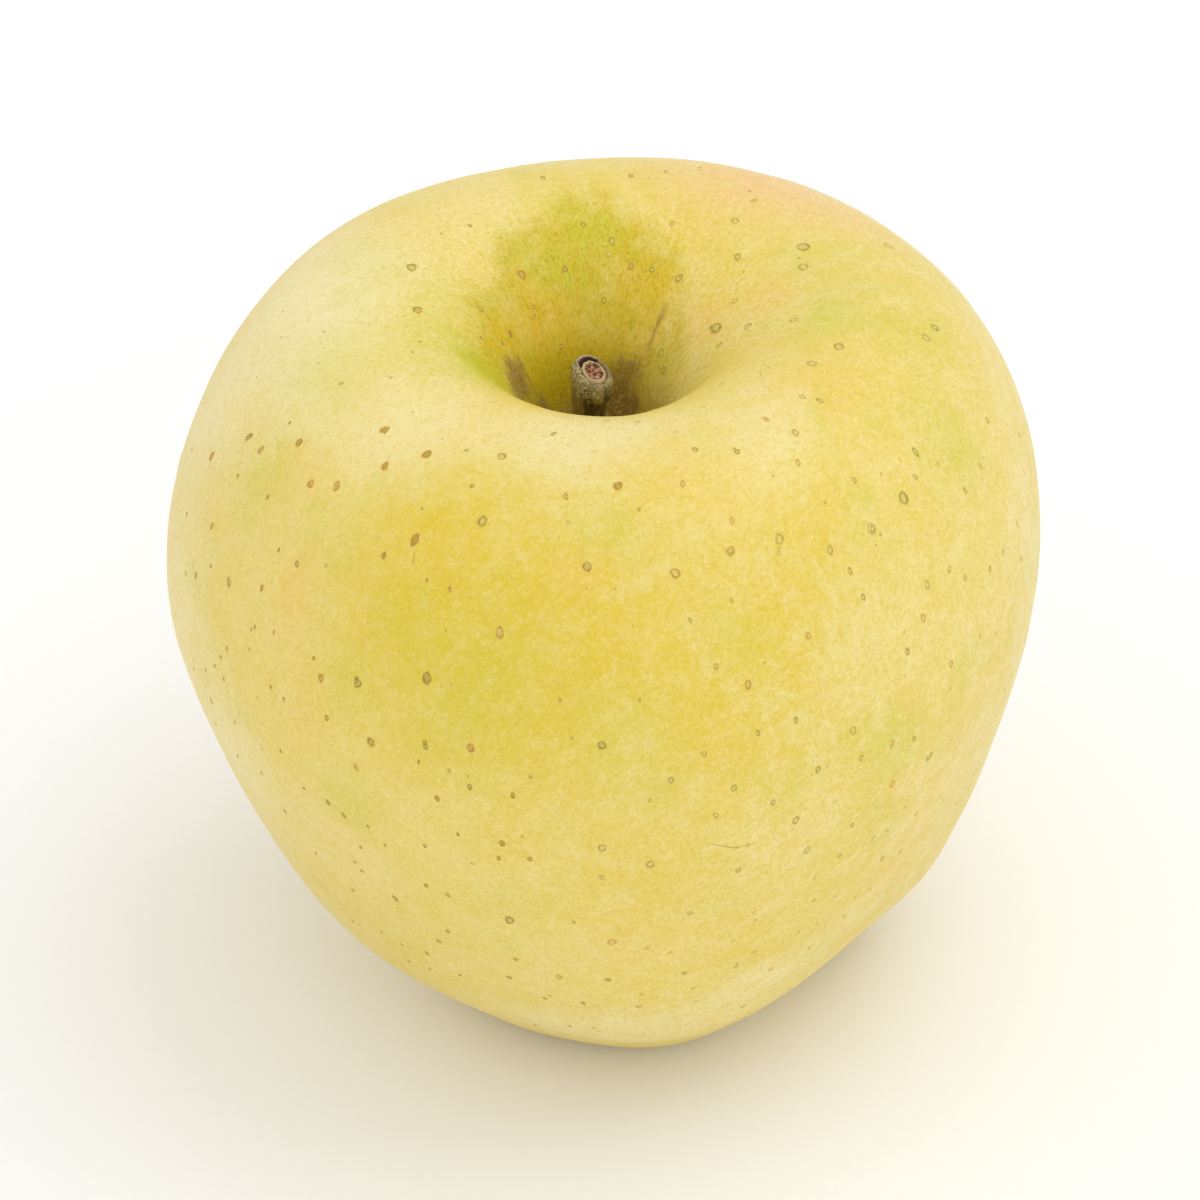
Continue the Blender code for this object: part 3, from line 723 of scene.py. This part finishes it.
def make_floor_material():
    """Plain pale floor with hardly any tooth."""
    material, s, shader = new_material("pale_floor", 0.9, 0.1)
    tooth = s.noise(s.position(), 900.0, 3.0, 0.6)
    s.feed(shader.inputs["Base Color"], s.mix(tooth, FLOOR_SHADE, FLOOR_WHITE))
    return material


def select_only(piece):
    """Make one piece the only one selected, and the active one."""
    bpy.ops.object.select_all(action="DESELECT")
    piece.select_set(True)
    bpy.context.view_layer.objects.active = piece


def edit_all():
    """Enter edit mode with all of the active piece selected."""
    bpy.ops.object.mode_set(mode="EDIT")
    bpy.ops.mesh.select_all(action="SELECT")


def select_faces(piece, wanted):
    """Enter edit mode with only the wanted faces of a piece selected."""
    bpy.ops.object.mode_set(mode="EDIT")
    bpy.ops.mesh.select_mode(type="FACE")
    bpy.ops.mesh.select_all(action="DESELECT")
    bpy.ops.object.mode_set(mode="OBJECT")
    for face in piece.data.polygons:
        face.select = wanted(face)
    bpy.ops.object.mode_set(mode="EDIT")


def apply_modifiers(piece):
    """Apply every modifier of a piece in order."""
    select_only(piece)
    for modifier in list(piece.modifiers):
        bpy.ops.object.modifier_apply(modifier=modifier.name)


def add_subdivision(piece, levels):
    """Add a Subdivision Surface modifier."""
    modifier = piece.modifiers.new("smooth_surface", "SUBSURF")
    modifier.levels = levels
    modifier.render_levels = levels


def add_relief(piece, name, size, depth):
    """Add a low, cloudy unevenness of a size and depth in metres."""
    texture = bpy.data.textures.new(name, type="CLOUDS")
    texture.noise_scale = size
    texture.noise_depth = 2
    modifier = piece.modifiers.new(name, "DISPLACE")
    modifier.texture = texture
    modifier.texture_coords = "LOCAL"
    modifier.strength = depth
    modifier.mid_level = 0.5


def make_skin():
    """Model the skin: the fruit's faces made finer, with the low unevenness of a real apple."""
    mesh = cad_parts["fruit"].data.copy()
    mesh.materials.clear()
    skin = add_object("apple_skin", mesh)
    select_only(skin)
    bpy.ops.mesh.customdata_custom_splitnormals_clear()
    edit_all()
    bpy.ops.mesh.remove_doubles(threshold=1e-6)
    widest = math.radians(70)
    bpy.ops.mesh.tris_convert_to_quads(face_threshold=widest, shape_threshold=widest)
    bpy.ops.object.mode_set(mode="OBJECT")
    add_subdivision(skin, 2)
    add_relief(skin, "broad_relief", 0.011, 0.00022)
    add_relief(skin, "fine_relief", 0.0032, 0.00005)
    apply_modifiers(skin)
    pucker(skin)
    bpy.ops.object.shade_smooth()
    return skin


def pucker(skin):
    """Pull the basin into folds that run to the flower end, and keep the feet on the floor."""
    for vertex in skin.data.vertices:
        place = vertex.co
        away = place - BASIN_CORE
        radius = math.hypot(away.x, away.y)
        if place.z < 0.012 and radius < PUCKER_REACH:
            bearing = math.atan2(away.y, away.x)
            wander = 1.2 * noise.noise(place * 160.0)
            share = ease(PUCKER_REACH, 0.006, radius) * ease(0.0027, 0.0036, radius)
            fold = math.sin(15.0 * bearing + wander) + 0.6 * math.sin(10.0 * bearing - 2.0 * wander)
            place.z += PUCKER_DEPTH * share * fold
        place.z = max(place.z, 0.0)


def make_pore_shape():
    """Model one pore as a flat disc one unit in radius: a heart, a rim, a fringe and a skirt that dips."""
    bpy.ops.mesh.primitive_circle_add(vertices=PORE_SIDES, radius=1.0, fill_type="NGON")
    shape = bpy.context.object
    edit_all()
    for width in (0.30, 0.17, 0.20):
        bpy.ops.mesh.inset(thickness=width)
    bpy.ops.mesh.poke()
    bpy.ops.object.mode_set(mode="OBJECT")
    mesh = shape.data
    bpy.data.objects.remove(shape)
    return mesh


def pore_lift(ring):
    """Return how far a pore stands out of the skin at a share of its radius, in metres."""
    rise = ease(0.10, 0.50, ring) * ease(0.80, 0.55, ring)
    dip = ease(0.72, 1.0, ring)
    return (PORE_BASE_MM + PORE_RISE_MM * rise + PORE_DIP_MM * dip) * MM


def noted_pores(tree):
    """Return the pores noted from the photograph: place, direction, size, tone."""
    draw = random.Random(SCATTER_SEED)
    found = []
    for column, row, along, across, tone in LARGE_PORES:
        found.append((*skin_at(tree, (column, row)), (along, across), tone))
    for size, pixels in SMALL_PORES:
        for pixel in pixels:
            shape = (size * draw.uniform(1.05, 1.35), size * draw.uniform(0.75, 0.95))
            left = ease(700, 450, pixel[0])
            found.append((*skin_at(tree, pixel), shape, draw.uniform(0.25 + 0.4 * left, 0.6 + 0.4 * left)))
    return found


def scatter_places(tree, count):
    """Draw more pores on the sides that the photograph doesn't show."""
    draw = random.Random(SCATTER_SEED)
    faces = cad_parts["fruit"].data.polygons
    weights = [face.area for face in faces]
    _, _, back = camera_axes()
    found = []
    while len(found) < count:
        face = draw.choices(faces, weights)[0]
        place, normal, _, _ = tree.find_nearest(face.center)
        shown = normal.dot(back) > 0.03
        near_core = (place - CORE).to_2d().length < BARE_CORE or place.z < BARE_BELOW
        crowded = any((place - other[0]).length < PORE_GAP for other in found)
        if shown or near_core or crowded:
            continue
        size = 0.36 + 0.75 * draw.random() ** 2.2
        shape = (size * draw.uniform(1.0, 1.35), size * draw.uniform(0.7, 0.95))
        found.append((place, normal, shape, draw.uniform(0.1, 1.0)))
    return found


def uneven(place, size_mm):
    """Return a number from about -1 to 1 that changes smoothly from place to place, over a size in mm."""
    return noise.noise(place / (size_mm * MM))


def lay_pore(tree, centre, normal, size_mm, outline, turn, number):
    """Return the points of one pore's disc, laid on the skin."""
    out = (centre - CORE).to_2d().to_3d().normalized()
    across = Vector((-out.y, out.x, 0.0))
    along = normal.cross(across).normalized()
    turned = Matrix.Rotation(turn, 3, normal)
    points = []
    for x, y in outline:
        ring = math.hypot(x, y)
        lopsided = 0.40 * noise.noise(Vector((x * 1.6, y * 1.6, number * 3.7)))
        swell = 1.0 + lopsided * min(ring * 2.0, 1.0)
        reach = (across * x * size_mm[1] + along * y * size_mm[0]) * 0.5 * PORE_FRINGE * MM * swell
        place, facing, _, _ = tree.find_nearest(centre + turned @ reach)
        points.append(place + facing * pore_lift(ring))
    return points


def lay_scratch(tree, pixels, width_mm):
    """Return a ribbon of points along a rubbed mark, three to a row, and each point's strength."""
    places = [skin_at(tree, pixel)[0] for pixel in pixels]
    rows = []
    for begin, end in zip(places, places[1:]):
        steps = max(2, int((end - begin).length / (0.3 * MM)))
        rows += [begin.lerp(end, step / steps) for step in range(steps)]
    rows.append(places[-1])
    points, strengths = [], []
    for number, row in enumerate(rows):
        ahead = rows[min(number + 1, len(rows) - 1)] - rows[max(number - 1, 0)]
        base, facing, _, _ = tree.find_nearest(row)
        across = facing.cross(ahead).normalized()
        taper = math.sin(math.pi * (number + 0.5) / len(rows)) ** 0.5
        wide = width_mm * MM * (0.75 + 0.6 * uneven(base, 1.1))
        for where in (-1.0, 0.0, 1.0):
            place, facing, _, _ = tree.find_nearest(base + across * where * wide)
            points.append(place + facing * (0.012 - 0.018 * abs(where)) * MM)
            strengths.append((1.0 - abs(where)) * taper)
    return points, strengths


def make_skin_marks(tree):
    """Lay the pores and the rubbed marks on the skin as thin pieces that follow the surface."""
    shape = make_pore_shape()
    outline = [(vertex.co.x, vertex.co.y) for vertex in shape.vertices]
    faces = [tuple(face.vertices) for face in shape.polygons]
    draw = random.Random(SCATTER_SEED)
    points, corners = [], []
    marks = {"pore": [], "ring": [], "tone": [], "halo": [], "scratch": []}

    def note(count, values):
        for name in marks:
            value = values.get(name, 0.0)
            marks[name] += value if isinstance(value, list) else [value] * count

    rings = [math.hypot(x, y) for x, y in outline]
    pores = noted_pores(tree) + scatter_places(tree, SCATTERED_PORES)
    for number, (centre, normal, size, tone) in enumerate(pores):
        halo = draw.choice((0.05, 0.05, 0.3, 0.6, 1.0, -0.4, -0.8))
        halo = -0.6 if tone >= 0.9 else halo
        first = len(points)
        points += lay_pore(tree, centre, normal, size, outline, draw.uniform(-0.35, 0.35), number)
        note(len(outline), {"pore": 1.0, "ring": rings, "tone": tone, "halo": halo})
        corners += [tuple(first + corner for corner in face) for face in faces]
    for pixels, width, strength in SCRATCHES:
        first = len(points)
        ribbon, strengths = lay_scratch(tree, pixels, width)
        points += ribbon
        note(len(ribbon), {"scratch": [strength * value for value in strengths]})
        for row in range(first, len(points) - 3, 3):
            corners += [(row, row + 1, row + 4, row + 3), (row + 1, row + 2, row + 5, row + 4)]

    mesh = bpy.data.meshes.new("skin_marks")
    mesh.from_pydata(points, [], corners)
    for name, values in marks.items():
        note_values(mesh, name, values)
    face_outwards(mesh, tree)
    mesh.shade_smooth()
    return add_object("skin_marks", mesh)


def face_outwards(mesh, tree):
    """Turn every face the way that the skin beneath it faces."""
    shell = bmesh.new()
    shell.from_mesh(mesh)
    shell.normal_update()
    for face in shell.faces:
        facing = tree.find_nearest(face.calc_center_median())[1]
        if face.normal.dot(facing) < 0.0:
            face.normal_flip()
    shell.to_mesh(mesh)
    shell.free()


def grow(centre, new_centre, widen):
    """Extrude the selected face to a new centre and widen it."""
    bpy.ops.mesh.extrude_region_move(TRANSFORM_OT_translate={"value": new_centre - centre})
    bpy.ops.transform.resize(value=(widen, widen, widen), center_override=new_centre)
    return new_centre


def cut_rise(away):
    """Return how much higher the slanting cut is at a place than in its middle."""
    return CUT_SLOPE[0] * away.x + CUT_SLOPE[1] * away.y


def make_stalk():
    """Model the stalk: a flared foot, a bowed shank, and a knob cut off at a slant round a woody core."""
    cut = STALK_TIP + Vector((0.05, 0.10, 0.32)) * MM
    radius = 2.1
    foot = Vector((STALK_FOOT.x, cut.y, stalk_low.z + 1.2 * MM))
    sizes = {"radius": radius * MM, "depth": 0.5 * MM}
    bpy.ops.mesh.primitive_cylinder_add(vertices=STALK_FACES, location=foot, **sizes)
    stalk = bpy.context.object
    stalk.name = "stalk_wood"
    stalk.data.name = "stalk_wood"
    bpy.ops.object.transform_apply(location=True, rotation=True, scale=True)
    select_faces(stalk, lambda face: face.normal.z > 0.9)
    centre = foot + Vector((0.0, 0.0, 0.25 * MM))
    for below, next_radius, right in STALK_RINGS:
        centre = grow(centre, cut + Vector((right, 0.0, -below)) * MM, next_radius / radius)
        radius = next_radius
    bpy.ops.mesh.poke()
    bpy.ops.mesh.select_all(action="SELECT")
    bpy.ops.mesh.normals_make_consistent(inside=False)
    bpy.ops.object.mode_set(mode="OBJECT")
    for vertex in stalk.data.vertices:
        away = vertex.co - cut
        slanting = ease(-3.4 * MM, -0.9 * MM, away.z)
        vertex.co.z += slanting * cut_rise(away)
    add_subdivision(stalk, 2)
    apply_modifiers(stalk)
    roughen_stalk(stalk, cut + Vector((0.12, 0.0, 0.0)) * MM)
    bpy.ops.object.shade_smooth()
    return stalk


def roughen_stalk(stalk, cut):
    """Give the bark ridges and scales and the pith crumbs, and note which vertices belong to what."""
    mesh = stalk.data
    normals = [vertex.normal.copy() for vertex in mesh.vertices]
    notes = {"ring": [], "groove": [], "collar": [], "torn": []}
    for vertex, normal in zip(mesh.vertices, normals):
        place = vertex.co.copy()
        away = (place - cut) / MM
        height = away.z - cut_rise(away)
        bearing = Vector((away.x, away.y, 0.0))
        reach = bearing.length
        bearing.normalize()
        at_end = ease(-1.0, -0.6, height)
        behind = ease(0.50, 0.90, bearing.dot(RIM_STANDS_UP))
        left = ease(0.6, -0.7, bearing.x)
        pith = at_end * ease(0.81, 0.67, reach)
        wood = at_end * ease(1.13, 1.05, reach) * (1.0 - pith)
        rim = at_end * ease(1.26, 1.40, reach) * ease(1.62, 1.44, reach)
        groove = at_end * ease(0.98, 1.08, reach) * ease(1.32, 1.24, reach)
        lip = at_end * ease(0.75, 0.98, bearing.x) * ease(1.35, 1.75, reach)
        bark = 1.0 - max(pith, wood)

        crumbs = uneven(place, 0.30) + 0.6 * uneven(place, 0.15)
        lift = 0.22 * crumbs * pith + 0.07 * uneven(place, 0.25) * wood
        lift += rim * (0.16 * uneven(place, 0.5) + 0.04 * behind) - 0.60 * behind * groove
        lift += 0.34 * lip
        vertex.co.z += lift * MM
        vertex.co += bearing * 0.10 * uneven(place, 0.55) * (wood + rim) * MM
        vertex.co += bearing * (0.16 * rim - 0.10 * groove * ease(1.12, 1.06, reach)) * behind * MM

        stretched = Vector((place.x, place.y, place.z * 0.14)) / (0.58 * MM)
        ridges = noise.noise(stretched) + 0.5 * noise.noise(stretched * 2.3)
        scales = uneven(place, 0.42) + 0.7 * uneven(place, 0.2)
        knob = ease(-2.8, -1.2, height + 0.5 * uneven(place, 0.7))
        low = ease(0.6 * MM, 1.8 * MM, place.z - stalk_low.z - 1.2 * MM)
        relief = 0.13 * ridges * low * (1.0 - 0.5 * knob) + (0.11 * scales + 0.05) * knob * (1.0 - rim)
        vertex.co += normal * relief * bark * MM

        jagged = height + 0.9 * uneven(place, 0.45)
        notes["ring"].append(reach / 1.07)
        # The groove note marks painted shade in the groove round the wood, strongest where the rim stands
        # up
        shaded = ease(1.00, 1.08, reach) * ease(1.40, 1.30, reach)
        notes["groove"].append(at_end * shaded * ease(0.15, 0.55, behind))
        scaly = ease(-1.3 - 0.9 * left, -0.7 - 0.7 * left, jagged)
        notes["collar"].append(bark * scaly * (0.40 + 0.60 * left))
        notes["torn"].append(rim * (0.30 + 0.70 * behind))
    for name, values in notes.items():
        note_values(mesh, name, values)
    for face in mesh.polygons:
        away = (face.center - cut) / MM
        height = away.z - cut_rise(away)
        face.material_index = 1 if height > -0.9 and away.to_2d().length < 1.15 else 0


def sepal_spine(share):
    """Return where a sepal's middle line runs, as distance from the core and drop below the cup, in mm."""
    lean = math.radians(100.0) * ease(0.35, 1.0, share)
    out = 2.55 - 1.25 * ease(0.0, 0.5, share) + 2.0 * ease(0.52, 1.0, share)
    drop = 0.1 + 3.5 * share * (1.0 - 0.18 * math.sin(lean))
    return out, drop


def make_sepals():
    """Model the dried flower end: curled, pointed sepals round a dark cup with withered stamens."""
    draw = random.Random(SCATTER_SEED)
    cup_edge = calyx_high.z - 2.85 * MM
    pieces = []
    for number in range(SEPALS):
        bpy.ops.mesh.primitive_grid_add(x_subdivisions=6, y_subdivisions=14, size=1.0)
        sepal = bpy.context.object
        bearing = math.radians(360.0 / SEPALS * number + draw.uniform(-7.0, 7.0))
        reach = draw.uniform(0.86, 1.0)
        twist = draw.uniform(-0.5, 0.5)
        out = Vector((math.cos(bearing), math.sin(bearing), 0.0))
        across = Vector((-out.y, out.x, 0.0))
        for vertex in sepal.data.vertices:
            share = (vertex.co.y + 0.5) * reach
            side = vertex.co.x * 2.0
            width = 1.45 * (1.0 - ease(0.15, 1.0, share)) ** 0.8 + 0.06
            distance, drop = sepal_spine(share)
            cup = 0.35 * side * side * (1.0 - share)
            crinkle = 0.12 * noise.noise(Vector((side * 2.0, share * 6.0, number * 5.0)))
            place = BASIN_CORE + out * (distance - cup + crinkle) * MM
            place += across * (side * width + twist * share * share) * MM
            place.z = cup_edge - (drop + 0.25 * abs(side) * share) * MM
            vertex.co = place
        thick = sepal.modifiers.new("leaf_thickness", "SOLIDIFY")
        thick.thickness = SEPAL_THICKNESS
        thick.offset = 0.0
        add_subdivision(sepal, 1)
        apply_modifiers(sepal)
        pieces.append(sepal)
    pieces.append(make_calyx_cup(cup_edge))
    for number in range(STAMENS):
        pieces.append(make_stamen(draw, cup_edge, math.radians(360.0 / STAMENS * number)))
    bpy.ops.object.select_all(action="DESELECT")
    for piece in pieces:
        piece.select_set(True)
    bpy.context.view_layer.objects.active = pieces[0]
    bpy.ops.object.join()
    calyx = bpy.context.object
    calyx.name = "dried_calyx"
    calyx.data.name = "dried_calyx"
    edit_all()
    bpy.ops.mesh.normals_make_consistent(inside=False)
    bpy.ops.object.mode_set(mode="OBJECT")
    bpy.ops.object.shade_smooth()
    return calyx


def make_calyx_cup(cup_edge):
    """Model the cup that the sepals stand on: a flange on the skin and a dark hollow above it."""
    middle = BASIN_CORE + Vector((0.0, 0.0, cup_edge + 0.5 * MM))
    bpy.ops.mesh.primitive_cylinder_add(vertices=30, radius=3.1 * MM, depth=0.7 * MM, location=middle)
    cup = bpy.context.object
    bpy.ops.object.transform_apply(location=True, rotation=True, scale=True)
    select_faces(cup, lambda face: face.normal.z < -0.9)
    for width, rise in ((0.55, 0.05), (0.55, 0.18), (0.22, -0.25), (0.25, -0.15)):
        bpy.ops.mesh.inset(thickness=width * MM, depth=rise * MM)
    bpy.ops.object.mode_set(mode="OBJECT")
    add_subdivision(cup, 2)
    apply_modifiers(cup)
    for vertex in cup.data.vertices:
        vertex.co += 0.10 * MM * uneven(vertex.co, 0.8) * vertex.normal
    return cup


def make_stamen(draw, cup_edge, bearing):
    """Model one withered stamen: a thin, bent, tapering thread."""
    length = draw.uniform(1.9, 3.0)
    bpy.ops.mesh.primitive_cone_add(vertices=6, radius1=0.13 * MM, radius2=0.05 * MM, depth=length * MM)
    stamen = bpy.context.object
    for share in (-0.2, 0.2):
        edit_all()
        bpy.ops.mesh.bisect(plane_co=(0.0, 0.0, length * share * MM), plane_no=(0.0, 0.0, 1.0))
    bpy.ops.object.mode_set(mode="OBJECT")
    out = Vector((math.cos(bearing), math.sin(bearing), 0.0))
    lean = draw.uniform(0.1, 0.55)
    curl = draw.uniform(-0.5, 0.5)
    for vertex in stamen.data.vertices:
        along = vertex.co.z / (length * MM) + 0.5
        foot = BASIN_CORE + out * 1.25 * MM
        foot.z = cup_edge + 0.1 * MM
        spread = out * (-lean * along + 0.5 * lean * along * along) * length * MM
        side = Vector((-out.y, out.x, 0.0)) * curl * along * along * MM
        flat = Vector((vertex.co.x, vertex.co.y, 0.0))
        vertex.co = foot + flat + spread + side - Vector((0.0, 0.0, along * length * MM))
    return stamen


def make_floor():
    """Lay the pale floor."""
    bpy.ops.mesh.primitive_plane_add(size=5.0)
    floor = bpy.context.object
    floor.name = "floor"
    floor.data.materials.append(make_floor_material())


def add_soft_light(name, place, size, power):
    """Add a square soft light that faces the apple."""
    data = bpy.data.lights.new(name, "AREA")
    data.size = size
    data.energy = power
    light = add_object(name, data)
    light.location = place
    light.rotation_mode = "QUATERNION"
    light.rotation_quaternion = (Vector(place) - LIT_POINT).to_track_quat("Z", "Y")


def light_scene():
    """White surroundings and large soft lights, the strongest from above on the right."""
    world = bpy.data.worlds.new("white_surroundings")
    world.use_nodes = True
    background = world.node_tree.nodes["Background"]
    background.inputs["Color"].default_value = (1.0, 1.0, 1.0, 1.0)
    background.inputs["Strength"].default_value = SURROUNDINGS_STRENGTH
    bpy.context.scene.world = world
    for name, place, size, power in SOFT_LIGHTS:
        add_soft_light(name, place, size, power)
    bpy.context.scene.view_settings.view_transform = "Standard"


set_camera()
apple_skin = make_skin()
skin_tree = BVHTree.FromObject(apple_skin, bpy.context.evaluated_depsgraph_get())
apple_skin.data.materials.append(make_skin_material())
lay_patches(apple_skin, skin_tree)
skin_marks = make_skin_marks(skin_tree)
skin_marks.data.materials.append(apple_skin.data.materials[0])
lay_patches(skin_marks, skin_tree)
stalk_piece = make_stalk()
stalk_piece.data.materials.append(make_bark_material())
stalk_piece.data.materials.append(make_wood_material())
calyx_piece = make_sepals()
calyx_piece.data.materials.append(make_sepal_material())

for piece, node, slot in (
    (apple_skin, "fruit", "apple_skin"),
    (skin_marks, None, "apple_skin"),
    (stalk_piece, "stalk", "stalk_bark"),
    (calyx_piece, "calyx", "dried_calyx"),
):
    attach(piece, "root")
    if node:
        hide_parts(node)

make_floor()
light_scene()
